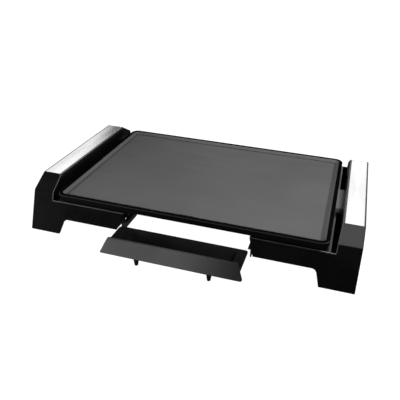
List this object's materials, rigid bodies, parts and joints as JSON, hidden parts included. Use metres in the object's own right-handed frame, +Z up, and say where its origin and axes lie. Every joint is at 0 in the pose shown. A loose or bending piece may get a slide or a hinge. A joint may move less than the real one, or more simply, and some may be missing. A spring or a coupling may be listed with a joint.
{
  "type": "electric griddle",
  "caption": "Table-top electric griddle: rimmed non-stick plate between two faceted end caps with steel strips, socket for a plug-in heat control, slide-out drip tray.",
  "frame": {"origin": "centre of the footprint, on the table, with the drip tray pulled out as it is at rest", "axes": "+Z up; -Y towards the cook, the way the drip tray pulls out; +X to the right, the end with the control socket"},
  "size_m": [0.5252, 0.407, 0.0824],
  "materials": {
    "black_plastic": "satin to gloss moulded plastic",
    "brushed_trim": "brushed along its length",
    "cover_plastic": "fine moulded texture",
    "screw_steel": "plated",
    "foot_rubber": "matt",
    "nonstick_coating": "satin non-stick coating on cast aluminium",
    "spacer_phenolic": "heat-resistant moulding",
    "heater_sheath": "heat-tinted sheath",
    "bead_ceramic": "unglazed ceramic",
    "pin_steel": "bright plated",
    "zinc_steel": "zinc plated",
    "socket_phenolic": "heat-resistant moulding",
    "tray_plastic": "moulded, smooth inside",
    "panel_plastic": "satin moulded plastic"
  },
  "bodies": {
    "base": {"end_cap_right": "black_plastic", "end_cap_left": "black_plastic", "front_rail_right": "black_plastic", "front_rail_left": "black_plastic", "side_ledge_right": "black_plastic", "side_ledge_left": "black_plastic", "rear_rail": "black_plastic", "end_trim_right": "brushed_trim", "end_trim_left": "brushed_trim", "end_cover_right": "cover_plastic", "end_cover_left": "cover_plastic", "cover_screws": "screw_steel", "foot_front_right": "foot_rubber", "foot_front_left": "foot_rubber", "foot_rear_right": "foot_rubber", "foot_rear_left": "foot_rubber", "griddle_plate": "nonstick_coating", "plate_spacers": "spacer_phenolic", "plate_screws": "screw_steel", "heating_element": "heater_sheath", "terminal_beads": "bead_ceramic", "terminal_pins": "pin_steel", "probe_sleeve": "pin_steel", "terminal_bracket": "zinc_steel", "bracket_screws": "screw_steel", "control_socket": "socket_phenolic", "tray_guide_right": "cover_plastic", "tray_guide_left": "cover_plastic", "guide_screws": "screw_steel"},
    "tray": {"drip_tray": "tray_plastic", "drip_tray_front": "panel_plastic", "tray_front_screws": "screw_steel"}
  },
  "joints": [
    {"name": "tray_slide", "type": "slide", "parent": "base", "child": "tray", "axis": [0, -1, 0], "range_m": [-0.064, 0.054]}
  ]
}
